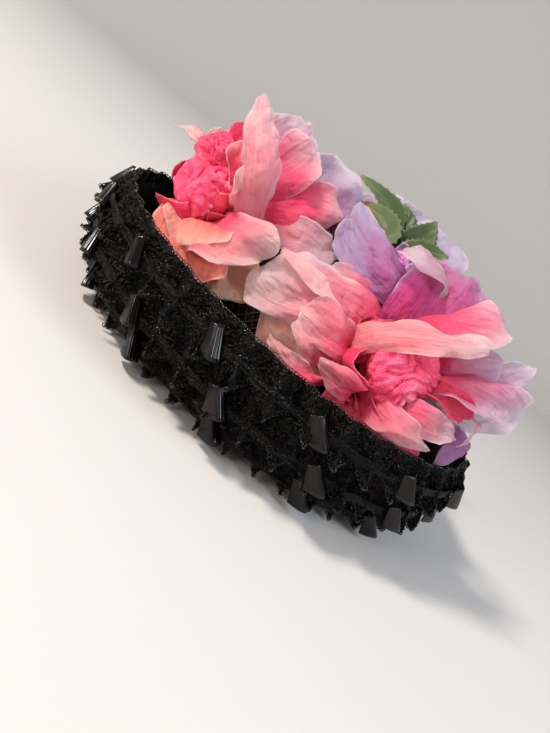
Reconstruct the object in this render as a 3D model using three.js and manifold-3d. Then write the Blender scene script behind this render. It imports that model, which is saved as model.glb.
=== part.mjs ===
// A lady's dress hat: a woven straw crown inside a deep upturned brim, three tiers of pleated
// black lace with rows of folded ribbon round the brim, and four big organza roses with leaves.
// Millimetres, +Z up. The front of the hat is -Y and the wearer's left side is +X.
import * as THREE from 'three';
import Module from 'manifold-3d';

const wasm = await Module();
wasm.setup();
const { Manifold, Mesh: SolidMesh } = wasm;

// Driving sizes of the crown, an oval dome that is open below
const crownTop = 118;
const crownFoot = 8;
const crownHalfWidth = 84;
const crownHalfLength = 99;
const strawWall = 2;
const crownColumns = 20;
const crownProfile = [
  { rise: 0, spread: 1 },
  { rise: 0.42, spread: 0.985 },
  { rise: 0.68, spread: 0.93 },
  { rise: 0.86, spread: 0.79 },
  { rise: 0.96, spread: 0.56 },
  { rise: 1, spread: 0.26 },
];

// The brim rises from the foot of the crown as an open bowl
const brimWall = 2.4;
const brimColumns = 32;
const brimProfile = [
  { height: 8.2, halfWidth: 86.5, halfLength: 101.5 },
  { height: 10, halfWidth: 103, halfLength: 118 },
  { height: 18, halfWidth: 119, halfLength: 132 },
  { height: 34, halfWidth: 129.5, halfLength: 139 },
  { height: 60, halfWidth: 134.5, halfLength: 141.5 },
];

// Lace tiers: each hangs from a seam on the brim and stands off it in deep knife pleats
const laceWall = 1.6;
const pleatCount = 42;
const pleatTurnBack = 0.3;
const laceTiers = [
  { name: 'lace_lower', top: 25, topWidth: 126.5, topLength: 138, topDepth: 0.5,
    foot: 0, footWidth: 116, footLength: 131, footDepth: 3.2, lean: 3 },
  { name: 'lace_middle', top: 46, topWidth: 134.7, topLength: 143.3, topDepth: 0.5,
    foot: 19, footWidth: 134.5, footLength: 145, footDepth: 3.2, lean: 3 },
  { name: 'lace_upper', top: 67, topWidth: 138.2, topLength: 145.2, topDepth: 1,
    foot: 41, footWidth: 142.3, footLength: 150.4, footDepth: 3.4, lean: 3 },
];

// Ribbon rows: a flat band under each tier's seam, with folded tabs that stand out from it
const tabsPerRow = 14;
const tabLength = 19;
const tabTopWidth = 8;
const tabFootWidth = 13;
const tabRidge = 3.6;
const tabSlant = 30;
const tabLift = 1.6;
const ribbonWall = 1.2;
const ribbonRows = [
  { name: 'ribbon_lower', middle: 12.4, halfWidth: 126.6, halfLength: 139.8, bandHeight: 5,
    firstTurn: -25 },
  { name: 'ribbon_middle', middle: 30, halfWidth: 139.4, halfLength: 149.4, bandHeight: 5,
    firstTurn: -27.5 },
  { name: 'ribbon_upper', middle: 54, halfWidth: 145.6, halfLength: 153.2, bandHeight: 5,
    firstTurn: -35 },
];

// The far rose lies open: turn is the angle of a petal's tip round the rose's axis, reach its
// distance from the axis, rise its height along the axis and width its widest
const openPetalTable = [
  { turn: 0, reach: 76, rise: 14, width: 68 },
  { turn: 55, reach: 46, rise: 26, width: 52 },
  { turn: 125, reach: 46, rise: 26, width: 52 },
  { turn: 177, reach: 86, rise: 14, width: 74 },
  { turn: 226, reach: 66, rise: 6, width: 70 },
  { turn: 270, reach: 60, rise: 4, width: 66 },
  { turn: 314, reach: 66, rise: 6, width: 70 },
  { turn: 245, reach: 40, rise: 42, width: 60 },
];

// Roses: the calyx is where the petals meet, and a rose faces along its own axis. Each petal
// has a middle line that starts at the calyx and ends at its tip. Left and right are the two
// points where its edges lie widest, beside the last point of the line before the tip. End is
// how wide the tip is for that widest part, and foot how wide the foot is. The edges stop short
// of the tip by their shortening.
const heartSides = 12;
const petalWall = 1.2;
const petalFoot = 0.3;
const edgeShortening = 0.14;
const tipTaper = 2.2;
const openMiddle = 0.62;
const openHollow = 0.12;
const calyxRadius = 12;
const calyxHead = 2.5;
const petalRows = 4;
const openPetalRows = 3;
const petalColumns = 3;
const clearance = 0.5;
const smoothing = 0.3;
const roses = [
  {
    name: 'rose_1', calyx: [52, -90, 81], faces: [0.62, -0.38, 0.68], heart: 19, petals: [
      { line: [[10, -46, 137], [6, -44, 161]], left: [8, -71, 138], right: [10, -22, 138],
        end: 0.85 },
      { line: [[38, -83, 144], [30, -80, 164]], left: [44, -100, 144], right: [34, -64, 147],
        end: 0.5 },
      { line: [[50, -41, 120], [38, -24, 127]], left: [40, -46, 142], right: [60, -36, 100],
        end: 0.5 },
      { line: [[50, -65, 139], [44, -63, 157]], left: [46, -81, 148], right: [50, -49, 139],
        end: 0.4 },
      { line: [[46, -114, 94], [62, -116, 113], [64, -131, 108]], left: [68, -114, 109],
        right: [58, -120, 116], end: 0.3 },
      { line: [[74, -61, 94], [90, -74, 127], [72, -100, 159]], left: [84, -83, 122],
        right: [80, -66, 131], end: 0.2, foot: 0.5 },
      { line: [[98, -68, 66], [104, -63, 59]], left: [94, -100, 68], right: [98, -46, 70],
        end: 0.75 },
      { line: [[92, -40, 68], [94, -30, 62]], left: [98, -49, 56], right: [84, -28, 79],
        end: 0.75 },
      { line: [[94, -81, 74], [100, -81, 68]], left: [88, -100, 74], right: [98, -59, 89],
        end: 0.7 },
      { line: [[96, -50, 89], [92, -35, 93]], left: [86, -51, 105], right: [104, -62, 71],
        end: 0.55 },
      { line: [[56, -22, 110], [52, -7, 111]], left: [48, -23, 121], right: [62, -18, 102],
        end: 0.6 },
    ],
  },
  {
    name: 'rose_2', calyx: [76, 50, 78], faces: [0.7, 0.25, 0.62], heart: 22, petals: [
      { line: [[60, 55, 141], [50, 53, 161]], left: [66, 27, 139], right: [50, 92, 144],
        end: 0.8 },
      { line: [[60, 112, 129], [50, 121, 145]], left: [58, 105, 133], right: [56, 126, 131],
        end: 0.2 },
      { line: [[56, 129, 120], [50, 135, 131]], left: [50, 122, 132], right: [58, 138, 111],
        end: 0.6 },
      { line: [[74, 95, 127], [68, 106, 134]], left: [72, 86, 134], right: [80, 106, 118],
        end: 0.5 },
      { line: [[68, 20, 106], [62, -7, 109]], left: [70, 15, 100], right: [62, 22, 111],
        end: 0.6 },
      { line: [[84, 22, 99], [90, -6, 93], [84, -36, 92]], left: [98, -12, 77], right: [76, -4, 106],
        end: 0.9 },
      { line: [[88, -9, 61], [84, -21, 69]], left: [94, -8, 52], right: [82, -11, 70],
        end: 0.5 },
      { line: [[102, 16, 78], [98, -4, 83]], left: [108, 11, 69], right: [96, 14, 85],
        end: 0.5 },
      { line: [[94, 103, 118], [80, 130, 116]], left: [80, 113, 130], right: [102, 98, 108],
        end: 0.7 },
      { line: [[108, 64, 67], [112, 64, 59]], left: [110, 35, 62], right: [104, 100, 69],
        end: 0.8 },
      { line: [[112, 21, 63], [106, -8, 65]], left: [114, 16, 57], right: [108, 22, 67],
        end: 0.5 },
      { line: [[112, 87, 89], [102, 109, 94]], left: [106, 85, 95], right: [116, 89, 83],
        end: 0.35 },
      { line: [[120, 75, 77], [112, 101, 75]], left: [114, 76, 84], right: [122, 75, 71],
        end: 0.35 },
      { line: [[88, 61, 135], [92, 91, 152]], left: [78, 60, 138], right: [98, 68, 127],
        end: 0.6 },
      { line: [[100, 30, 92], [112, 50, 117], [98, 86, 137]], left: [104, 44, 121], right: [114, 56, 112],
        end: 0.5, foot: 0.9 },
    ],
  },
  {
    name: 'rose_3', calyx: [37, 26, 114], faces: [0.4, 0, 0.92], heart: 16, petals: [
      { line: [[40, 9, 129], [34, -21, 141]], left: [52, 8, 113], right: [20, 3, 146],
        end: 0.25 },
      { line: [[50, 11, 122], [48, -4, 116]], left: [54, 12, 111], right: [42, 10, 135],
        end: 0.5 },
    ],
  },
  {
    name: 'rose_4', calyx: [-54, -8, 110], faces: [-0.45, 0, 0.89], heart: 16, petals: [
      { line: [[-58, 28, 150], [-62, 22, 172]], left: [-60, -13, 157], right: [-60, 65, 158],
        end: 0.2 },
    ],
    open: openPetalTable,
  },
];

// Leaves: each rises on its stem from the top of the crown between the far roses, through its
// middle point to its tip. Faces is the way the upper side of its blade looks.
const leafWall = 1.2;
const leafRows = [
  { foot: [-6, -6, 118.6], middle: [-8, 2, 149], tip: [-10, -38, 159], width: 22, faces: [0.6, 0, 0.8] },
  { foot: [6, -8, 118.6], middle: [4, 2, 144], tip: [8, -22, 148], width: 22, faces: [0.8, 0, 0.6] },
  { foot: [-8, 12, 118.6], middle: [-10, 24, 153], tip: [-14, 24, 171], width: 26, faces: [1, 0, 0.1] },
  { foot: [2, 12, 118.6], middle: [0, 28, 148], tip: [-6, 46, 158], width: 18, faces: [0.8, 0, 0.6] },
  { foot: [-12, 2, 118.6], middle: [-16, 10, 154], tip: [-24, 0, 166], width: 20, faces: [0.8, 0, 0.6] },
];

// Builds a closed solid from corner points and triangles and turns it to face outwards
function solidFrom(points, triangles) {
  const corners = new Float32Array(points.length * 3);
  points.forEach((point, index) => point.toArray(corners, index * 3));
  let volume = 0;
  for (const [a, b, c] of triangles) {
    volume += points[a].dot(new THREE.Vector3().crossVectors(points[b], points[c]));
  }
  const faces = triangles.flatMap(([a, b, c]) => (volume < 0 ? [a, c, b] : [a, b, c]));
  return new Manifold(new SolidMesh({
    numProp: 3,
    vertProperties: corners,
    triVerts: new Uint32Array(faces),
  }));
}

// Skins a row of equal rings. A closed skin joins the last ring to the first, and an open one
// is capped at both ends.
function skin(rings, closed) {
  const around = rings[0].length;
  const points = rings.flat();
  const triangles = [];
  const lastPair = closed ? rings.length : rings.length - 1;
  for (let ring = 0; ring < lastPair; ring += 1) {
    const next = (ring + 1) % rings.length;
    for (let step = 0; step < around; step += 1) {
      const beside = (step + 1) % around;
      const a = ring * around + step;
      const b = ring * around + beside;
      const c = next * around + beside;
      const d = next * around + step;
      // the shorter diagonal, so that both faces of a twisted wall bend the same way
      if (points[a].distanceTo(points[c]) <= points[b].distanceTo(points[d])) {
        triangles.push([a, b, c], [a, c, d]);
      } else {
        triangles.push([a, b, d], [b, c, d]);
      }
    }
  }
  if (!closed) {
    for (const [ring, turned] of [[0, true], [rings.length - 1, false]]) {
      const middle = new THREE.Vector3();
      rings[ring].forEach((point) => middle.addScaledVector(point, 1 / around));
      points.push(middle);
      for (let step = 0; step < around; step += 1) {
        const a = ring * around + step;
        const b = ring * around + ((step + 1) % around);
        triangles.push(turned ? [b, a, points.length - 1] : [a, b, points.length - 1]);
      }
    }
  }
  return solidFrom(points, triangles);
}

// Thickens a grid of points, grid[row][column], into a slab
function slab(grid, wall) {
  const rows = grid.length;
  const columns = grid[0].length;
  const points = [];
  for (const side of [0.5, -0.5]) {
    for (let row = 0; row < rows; row += 1) {
      for (let column = 0; column < columns; column += 1) {
        const along = new THREE.Vector3().subVectors(
          grid[Math.min(row + 1, rows - 1)][column],
          grid[Math.max(row - 1, 0)][column],
        );
        const across = new THREE.Vector3().subVectors(
          grid[row][Math.min(column + 1, columns - 1)],
          grid[row][Math.max(column - 1, 0)],
        );
        const normal = new THREE.Vector3().crossVectors(across, along).normalize();
        points.push(grid[row][column].clone().addScaledVector(normal, side * wall));
      }
    }
  }
  const back = rows * columns;
  const triangles = [];
  const quad = (a, b, c, d) => triangles.push([a, b, c], [a, c, d]);
  for (let row = 0; row < rows - 1; row += 1) {
    for (let column = 0; column < columns - 1; column += 1) {
      const a = row * columns + column;
      quad(a, a + 1, a + columns + 1, a + columns);
      quad(back + a, back + a + columns, back + a + columns + 1, back + a + 1);
    }
  }
  for (let row = 0; row < rows - 1; row += 1) {
    const left = row * columns;
    const right = left + columns - 1;
    quad(left + columns, left + columns + back, left + back, left);
    quad(right, right + back, right + columns + back, right + columns);
  }
  for (let column = 0; column < columns - 1; column += 1) {
    const top = (rows - 1) * columns + column;
    quad(column, column + back, column + 1 + back, column + 1);
    quad(top + 1, top + 1 + back, top + back, top);
  }
  return solidFrom(points, triangles);
}

function ovalPoint(turn, halfWidth, halfLength, height) {
  return new THREE.Vector3(halfWidth * Math.cos(turn), halfLength * Math.sin(turn), height);
}

function ovalRing(columns, halfWidth, halfLength, height) {
  return Array.from({ length: columns }, (_, column) => (
    ovalPoint((column / columns) * 2 * Math.PI, halfWidth, halfLength, height)
  ));
}

// The crown: the outer rings go up to the top and the inner rings come down under them
function crownRings(inset) {
  const rise = crownTop - crownFoot;
  return crownProfile.map((row) => ovalRing(
    crownColumns,
    crownHalfWidth * row.spread - inset,
    crownHalfLength * row.spread - inset,
    crownFoot + row.rise * rise - (row.rise > 0 ? inset : 0),
  ));
}

function crownSolid() {
  return skin([...crownRings(strawWall).reverse(), ...crownRings(0)], false);
}

// The space that the crown fills, a little larger, which keeps the flowers clear of it
function crownRoom() {
  return skin(crownRings(-clearance), false);
}

// The brim: one bowl-shaped wall, skinned round its inner and outer faces
function brimSolid() {
  const side = (offset) => brimProfile.map((row) => ovalRing(
    brimColumns,
    row.halfWidth + offset,
    row.halfLength + offset,
    row.height,
  ));
  return skin([...side(-brimWall / 2).reverse(), ...side(brimWall / 2)], true);
}

// A lace tier: in plan each pleat swells out to its fold and turns sharply back under it
function laceSolid(tier) {
  const ringAt = (level, offset) => {
    const mix = (top, foot) => foot + (top - foot) * level;
    const depth = mix(tier.topDepth, tier.footDepth);
    const lean = THREE.MathUtils.degToRad(tier.lean) * (1 - level);
    const ring = [];
    for (let pleat = 0; pleat < pleatCount; pleat += 1) {
      for (const [step, swell] of [[0, -1], [1 - pleatTurnBack, 1]]) {
        const turn = ((pleat + step) / pleatCount) * 2 * Math.PI + lean;
        ring.push(ovalPoint(
          turn,
          mix(tier.topWidth, tier.footWidth) + offset + swell * depth,
          mix(tier.topLength, tier.footLength) + offset + swell * depth,
          mix(tier.top, tier.foot),
        ));
      }
    }
    return ring;
  };
  const half = laceWall / 2;
  return skin([ringAt(0, -half), ringAt(1, -half), ringAt(1, half), ringAt(0, half)], true);
}

// A ribbon row: the flat band with a folded tab at every turn
function ribbonSolid(row) {
  const half = ribbonWall / 2;
  const ringAt = (height, offset) => ovalRing(
    tabsPerRow * 2,
    row.halfWidth + offset,
    row.halfLength + offset,
    height,
  );
  const low = row.middle - row.bandHeight / 2;
  const high = row.middle + row.bandHeight / 2;
  const band = skin([ringAt(low, -half), ringAt(high, -half), ringAt(high, half), ringAt(low, half)], true);
  const tabs = [];
  for (let tab = 0; tab < tabsPerRow; tab += 1) {
    const turn = THREE.MathUtils.degToRad(row.firstTurn + (tab / tabsPerRow) * 360);
    tabs.push(tabSolid(turn, row));
  }
  return Manifold.union([band, ...tabs]);
}

// One tab: two ribbon faces that meet in a ridge, wider at the foot than at the top
function tabSolid(turn, row) {
  const centre = ovalPoint(turn, row.halfWidth, row.halfLength, row.middle);
  const out = new THREE.Vector3(
    Math.cos(turn) / row.halfWidth,
    Math.sin(turn) / row.halfLength,
    0,
  ).normalize();
  const slant = THREE.MathUtils.degToRad(tabSlant);
  const level = new THREE.Vector3(-out.y, out.x, 0);
  const down = new THREE.Vector3(0, 0, -Math.cos(slant)).addScaledVector(level, Math.sin(slant));
  const across = new THREE.Vector3().crossVectors(out, down);
  const ringAt = (along, width, ridge, lift) => [
    [-width / 2, -0.4],
    [width / 2, -0.4],
    [width * 0.12, ridge],
  ].map(([aside, height]) => centre.clone()
    .addScaledVector(down, along)
    .addScaledVector(across, aside)
    .addScaledVector(out, height + lift));
  return skin([
    ringAt(-tabLength / 2, tabTopWidth, tabRidge * 0.5, 0),
    ringAt(tabLength / 2, tabFootWidth, tabRidge, tabLift),
  ], false);
}

// The three directions of a rose: along its axis, to its right and to its top
function roseFrame(rose) {
  const axis = new THREE.Vector3(...rose.faces).normalize();
  const right = new THREE.Vector3(0, 0, 1).cross(axis).normalize();
  const top = new THREE.Vector3().crossVectors(axis, right);
  return { calyx: new THREE.Vector3(...rose.calyx), axis, right, top };
}

// A petal of an open rose, in the same terms as a petal of the other roses
function openPetal(rose, row) {
  const { calyx, axis, right, top } = roseFrame(rose);
  const turn = THREE.MathUtils.degToRad(row.turn);
  const outward = right.clone().multiplyScalar(Math.cos(turn)).addScaledVector(top, Math.sin(turn));
  const sideways = new THREE.Vector3().crossVectors(axis, outward);
  const middle = calyx.clone()
    .addScaledVector(outward, row.reach * openMiddle)
    .addScaledVector(axis, row.rise / 2);
  const tip = calyx.clone().addScaledVector(outward, row.reach).addScaledVector(axis, row.rise);
  const edge = (side) => middle.clone()
    .addScaledVector(sideways, (side * row.width) / 2)
    .addScaledVector(axis, row.width * openHollow);
  return { line: [middle, tip], left: edge(-1), right: edge(1), end: 0.6, rows: openPetalRows };
}

// How far along a line through a few points each of them lies, from 0 to 1
function lineMarks(points) {
  const reach = [0];
  for (let point = 1; point < points.length; point += 1) {
    reach.push(reach[point - 1] + points[point].distanceTo(points[point - 1]));
  }
  return reach.map((distance) => distance / reach[reach.length - 1]);
}

// A point of the smooth line through a few points, where part runs from 0 to 1 along it
function linePoint(points, marks, part) {
  const result = new THREE.Vector3();
  points.forEach((point, here) => {
    let weight = 1;
    marks.forEach((mark, other) => {
      if (other !== here) {
        weight *= (part - mark) / (marks[here] - mark);
      }
    });
    result.addScaledVector(point, weight);
  });
  return result;
}

// A petal: the cloth on each side of its middle line bends towards its edge. The edges are
// shorter than the middle, which rounds the tip.
function petalSolid(rose, petal, wall, spare) {
  const { calyx, axis } = roseFrame(rose);
  const line = petal.line.map((point) => new THREE.Vector3(...point));
  const outward = line[0].clone().sub(calyx).projectOnPlane(axis).normalize();
  line.unshift(calyx.clone().addScaledVector(outward, calyxRadius - 1));
  const marks = lineMarks(line);
  const length = line[0].distanceTo(line[line.length - 1]);
  const widest = marks[marks.length - 2];
  const middle = line[line.length - 2];
  const left = new THREE.Vector3(...petal.left).sub(middle);
  const right = new THREE.Vector3(...petal.right).sub(middle);
  const grown = 1 + (2 * spare) / left.distanceTo(right);
  const foot = petal.foot ?? petalFoot;
  const rows = petal.rows ?? petalRows;
  const grid = [];
  for (let row = 0; row <= rows; row += 1) {
    const points = [];
    for (let column = 0; column < petalColumns; column += 1) {
      const aside = (column / (petalColumns - 1)) * 2 - 1;
      const part = (row / rows) * (1 - edgeShortening * Math.abs(aside) ** 3) * (1 + spare / length);
      const spread = part < widest
        ? foot + (1 - foot) * Math.sin((Math.PI / 2) * (part / widest))
        : 1 - (1 - petal.end) * ((part - widest) / (1 - widest)) ** tipTaper;
      points.push(linePoint(line, marks, part)
        .addScaledVector(right, (grown * spread * (aside * aside + aside)) / 2)
        .addScaledVector(left, (grown * spread * (aside * aside - aside)) / 2));
    }
    grid.push(points);
  }
  return slab(grid, wall);
}

// The calyx: a short cone behind the rose in which the feet of the petals are sewn
function calyxSolid(rose) {
  const { calyx, axis, right, top } = roseFrame(rose);
  const ringAt = (along, radius) => Array.from({ length: 10 }, (_, step) => {
    const turn = (step / 10) * 2 * Math.PI;
    return calyx.clone()
      .addScaledVector(axis, along)
      .addScaledVector(right, radius * Math.cos(turn))
      .addScaledVector(top, radius * Math.sin(turn));
  });
  return skin([ringAt(-7, 3), ringAt(-2, calyxRadius), ringAt(calyxHead, calyxRadius)], false);
}

// The heart: a crumpled ball of cloth with ridges that wind round it. Grown by some
// millimetres it is the room that the petals leave for it.
function heartSolid(rose, grown) {
  const { calyx, axis, right, top } = roseFrame(rose);
  const foot = calyxHead + clearance;
  const profile = [
    { rise: 0, spread: 0.4 },
    { rise: 0.2, spread: 0.72 },
    { rise: 0.5, spread: 1 },
    { rise: 0.78, spread: 0.92 },
    { rise: 1, spread: 0.55 },
  ];
  const rings = profile.map((row, level) => Array.from({ length: heartSides }, (_, step) => {
    const turn = ((step + level * 0.5) / heartSides) * 2 * Math.PI;
    const ridge = step % 2 === 0 ? 1 : 0.86;
    const radius = rose.heart * row.spread * (grown > 0 ? 1 : ridge) + grown;
    const along = foot + row.rise * rose.heart * 1.75 + (level === 0 ? -clearance : grown);
    return calyx.clone()
      .addScaledVector(axis, grown > 0 || level > 0 ? along : foot)
      .addScaledVector(right, radius * Math.cos(turn))
      .addScaledVector(top, radius * Math.sin(turn));
  }));
  return skin(rings, false);
}

// The space that the brim and its trimming fill, a little larger, which the petals stay out of
function brimRoom() {
  const inner = brimProfile.map((row) => ovalRing(
    brimColumns,
    row.halfWidth - brimWall / 2 - clearance,
    row.halfLength - brimWall / 2 - clearance,
    row.height,
  ));
  const beyond = 60;
  const rim = brimProfile[brimProfile.length - 1];
  const laceHead = laceTiers[2].top + clearance;
  const rimInner = rim.halfWidth - brimWall / 2 - clearance;
  const rimInnerLength = rim.halfLength - brimWall / 2 - clearance;
  return skin([
    ...inner,
    ovalRing(brimColumns, rimInner, rimInnerLength, laceHead),
    ovalRing(brimColumns, rim.halfWidth + beyond, rim.halfLength + beyond, laceHead),
    ovalRing(brimColumns, rim.halfWidth + beyond, rim.halfLength + beyond, 0),
    ovalRing(brimColumns, brimProfile[0].halfWidth - 4, brimProfile[0].halfLength - 4, 0),
  ], true);
}

// Keeps the piece that holds the most cloth when a cut leaves loose scraps
function largestPiece(solid) {
  return solid.decompose().sort((a, b) => b.volume() - a.volume())[0];
}

function petalsSolid(rose) {
  const petals = rose.petals.map((petal) => petalSolid(rose, petal, petalWall, 0));
  return Manifold.union([calyxSolid(rose), ...petals]).simplify(smoothing);
}

// The room that a rose's petals fill: every petal a little thicker, wider and longer
function petalsRoom(rose) {
  const petals = rose.petals.map((petal) => (
    petalSolid(rose, petal, petalWall + 3 * clearance, clearance)
  ));
  return Manifold.union([calyxSolid(rose), heartSolid(rose, 2 * clearance), ...petals]);
}

// A leaf: a narrow stem, then a pointed blade that folds along its rib
function leafSolid(leaf) {
  const line = [leaf.foot, leaf.middle, leaf.tip].map((point) => new THREE.Vector3(...point));
  const marks = lineMarks(line);
  const faces = new THREE.Vector3(...leaf.faces).normalize();
  const grid = [0, 0.3, 0.55, 0.8, 1].map((part) => {
    const along = linePoint(line, marks, part + 0.01).sub(linePoint(line, marks, part - 0.01));
    const aside = along.cross(faces).normalize();
    const blade = Math.max(0, (part - 0.25) / 0.75);
    const halfWidth = (leaf.width / 2) * Math.max(0.12, Math.sin(Math.PI * blade ** 0.8) ** 0.8);
    return [-1, 0, 1].map((step) => linePoint(line, marks, part)
      .addScaledVector(aside, step * halfWidth)
      .addScaledVector(faces, 0.25 * halfWidth * Math.abs(step)));
  });
  return slab(grid, leafWall);
}

// Materials of the real pieces
const straw = { color: 0x1c1512, roughness: 0.6, metalness: 0 };
const brimCloth = { color: 0x0f0e0f, roughness: 0.8, metalness: 0 };
const lace = { color: 0x131214, roughness: 0.65, metalness: 0 };
const ribbon = { color: 0x0c0b0c, roughness: 0.22, metalness: 0 };
const pinkHeart = { color: 0xe2486f, roughness: 0.7, metalness: 0 };
const pinkOrganza = { color: 0xeb9bb0, roughness: 0.6, metalness: 0 };
const lavenderHeart = { color: 0xc05f9d, roughness: 0.7, metalness: 0 };
const lavenderOrganza = { color: 0xcfa3cf, roughness: 0.6, metalness: 0 };
const leafCloth = { color: 0x55703a, roughness: 0.6, metalness: 0 };

const hat = new THREE.Group();
hat.name = 'flower_hat';

// Adds a solid, worked out in the hat's own frame, as a mesh of the group that carries it
function addPiece(name, solid, look, carrier = hat) {
  const { vertProperties, triVerts, numProp } = solid.getMesh();
  const corners = new Float32Array((vertProperties.length / numProp) * 3);
  for (let corner = 0; corner < corners.length / 3; corner += 1) {
    for (let axis = 0; axis < 3; axis += 1) {
      corners[corner * 3 + axis] = vertProperties[corner * numProp + axis];
    }
  }
  const geometry = new THREE.BufferGeometry();
  geometry.setAttribute('position', new THREE.BufferAttribute(corners, 3));
  geometry.setIndex(new THREE.BufferAttribute(new Uint32Array(triVerts), 1));
  geometry.applyMatrix4(carrier.matrixWorld.clone().invert());
  geometry.computeVertexNormals();
  const piece = new THREE.Mesh(geometry, new THREE.MeshStandardMaterial(look));
  piece.name = name;
  carrier.add(piece);
}

// A rose's group stands at its calyx and looks along its axis
function roseGroup(rose) {
  const { calyx, axis, right, top } = roseFrame(rose);
  const group = new THREE.Group();
  group.position.copy(calyx);
  group.quaternion.setFromRotationMatrix(new THREE.Matrix4().makeBasis(right, top, axis));
  hat.add(group);
  group.updateMatrixWorld();
  return group;
}

addPiece('crown', crownSolid(), straw);
addPiece('brim', brimSolid(), brimCloth);
laceTiers.forEach((tier) => addPiece(tier.name, laceSolid(tier), lace));
ribbonRows.forEach((row) => addPiece(row.name, ribbonSolid(row), ribbon));

// Each rose stays clear of the crown, the brim, its own heart and the roses before it
let taken = Manifold.union([crownRoom(), brimRoom()]);
for (const rose of roses) {
  for (const row of rose.open ?? []) {
    rose.petals.push(openPetal(rose, row));
  }
  const pink = rose.name === 'rose_1' || rose.name === 'rose_2';
  const petals = largestPiece(petalsSolid(rose)
    .subtract(taken)
    .subtract(heartSolid(rose, 2.4 * clearance)));
  taken = taken.add(petalsRoom(rose));
  const group = roseGroup(rose);
  addPiece(`${rose.name}_petals`, petals, pink ? pinkOrganza : lavenderOrganza, group);
  addPiece(`${rose.name}_heart`, heartSolid(rose, 0), pink ? pinkHeart : lavenderHeart, group);
}

leafRows.forEach((leaf, index) => {
  addPiece(`leaf_${index + 1}`, largestPiece(leafSolid(leaf).subtract(taken)), leafCloth);
});

export default hat;
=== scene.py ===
# A lady's dress hat: a woven straw crown in a deep upturned brim, three tiers of pleated black
# lace with rows of folded ribbon round the brim, and big organza roses with cloth leaves.
# The front is -Y and the wearer's left side is +X. Sizes are in millimetres until they are used.
import math

import bmesh
import bpy
import numpy as np
from mathutils import Matrix, Vector, noise


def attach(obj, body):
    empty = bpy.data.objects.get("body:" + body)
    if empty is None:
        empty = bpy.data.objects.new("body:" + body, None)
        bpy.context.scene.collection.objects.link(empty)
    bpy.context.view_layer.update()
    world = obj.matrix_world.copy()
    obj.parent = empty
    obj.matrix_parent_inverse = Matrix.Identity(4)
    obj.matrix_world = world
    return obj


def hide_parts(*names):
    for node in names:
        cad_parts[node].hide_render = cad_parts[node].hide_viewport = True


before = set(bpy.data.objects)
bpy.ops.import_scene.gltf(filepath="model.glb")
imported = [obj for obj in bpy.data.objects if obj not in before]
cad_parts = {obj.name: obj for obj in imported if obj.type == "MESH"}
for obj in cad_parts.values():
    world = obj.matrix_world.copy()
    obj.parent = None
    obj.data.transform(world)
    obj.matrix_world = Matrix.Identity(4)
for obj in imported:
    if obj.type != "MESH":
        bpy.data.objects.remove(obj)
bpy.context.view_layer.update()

# Crown: an oval dome of black straw, woven in an open diamond lattice over a dark net that is
# stiffened with size. The straws run up the dome both ways and pass over and under each other.
MM = 0.001
FULL_TURN = 2 * math.pi
CROWN_TOP = 118
CROWN_FOOT = 8
CROWN_HALF_WIDTH = 84
CROWN_HALF_LENGTH = 99
CROWN_RISE = (0, 0.42, 0.68, 0.86, 0.96, 1)
CROWN_SPREAD = (1, 0.985, 0.93, 0.79, 0.56, 0.26)
NET_INSET = 1.2
NET_WALL = 0.8
NET_COLUMNS = 96
NET_ROWS = 30
STRAWS_EACH_WAY = 104
CROSSINGS = 40
STRAW_WIDTH = 1.5
STRAW_THICKNESS = 0.8
STRAW_CORNERS = 4
STRAW_WAVE = 0.42
STRAW_INSET = 0.2
STRAW_STOP = 0.95


def new_object(name, data):
    thing = bpy.data.objects.new(name, data)
    bpy.context.collection.objects.link(thing)
    return thing


def new_mesh(name, points, edges, faces):
    """An object whose mesh has its points in millimetres."""
    mesh = bpy.data.meshes.new(name)
    mesh.from_pydata((np.reshape(points, (-1, 3)) * MM).tolist(), edges, faces)
    return new_object(name, mesh)


def new_piece(name, points, faces, look, smooth=True):
    """A mesh piece of the hat with its material."""
    piece = new_mesh(name, points, [], faces)
    piece.data.materials.append(look)
    piece.data.shade_smooth() if smooth else piece.data.shade_flat()
    return piece


def set_inputs(tree, node, inputs):
    """Gives a node's inputs their values, or links them to other sockets. A node given in place
    of a socket stands for its first output."""
    for name, source in inputs.items():
        if isinstance(source, bpy.types.Node):
            source = source.outputs[0]
        if isinstance(source, bpy.types.NodeSocket):
            tree.links.new(source, node.inputs[name])
        else:
            node.inputs[name].default_value = source


def add_node(tree, kind, inputs=None, **settings):
    node = tree.nodes.new(kind)
    for name, value in settings.items():
        setattr(node, name, value)
    set_inputs(tree, node, inputs or {})
    return node


def new_look(name, colour, inputs):
    """A material, its tree of nodes, and its shader with values for some inputs."""
    look = bpy.data.materials.new(name)
    look.use_nodes = True
    look.diffuse_color = (*colour, 1)
    tree = look.node_tree
    shader = tree.nodes["Principled BSDF"]
    set_inputs(tree, shader, {"Base Color": (*colour, 1), **inputs})
    return look, tree, shader


def object_place(tree):
    return add_node(tree, "ShaderNodeTexCoord").outputs["Object"]


def noise_over(tree, place, scale, detail):
    return add_node(tree, "ShaderNodeTexNoise", {
        "Vector": place, "Scale": scale, "Detail": detail})


def colour_steps(tree, source, steps):
    """Colours for the values of a socket. Each step is a value and its colour."""
    ramp = add_node(tree, "ShaderNodeValToRGB", {"Fac": source})
    elements = ramp.color_ramp.elements
    while len(elements) < len(steps):
        elements.new(0.5)
    for element, (position, colour) in zip(elements, steps):
        element.position = position
        element.color = (*colour, 1)
    return ramp


def bump_on(tree, height, distance, strength, below=None, **settings):
    """A bump from a height, on top of the bump below it. Its distance is in millimetres."""
    inputs = {"Height": height, "Distance": distance * MM, "Strength": strength}
    if below is not None:
        inputs["Normal"] = below
    return add_node(tree, "ShaderNodeBump", inputs, **settings)


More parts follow.
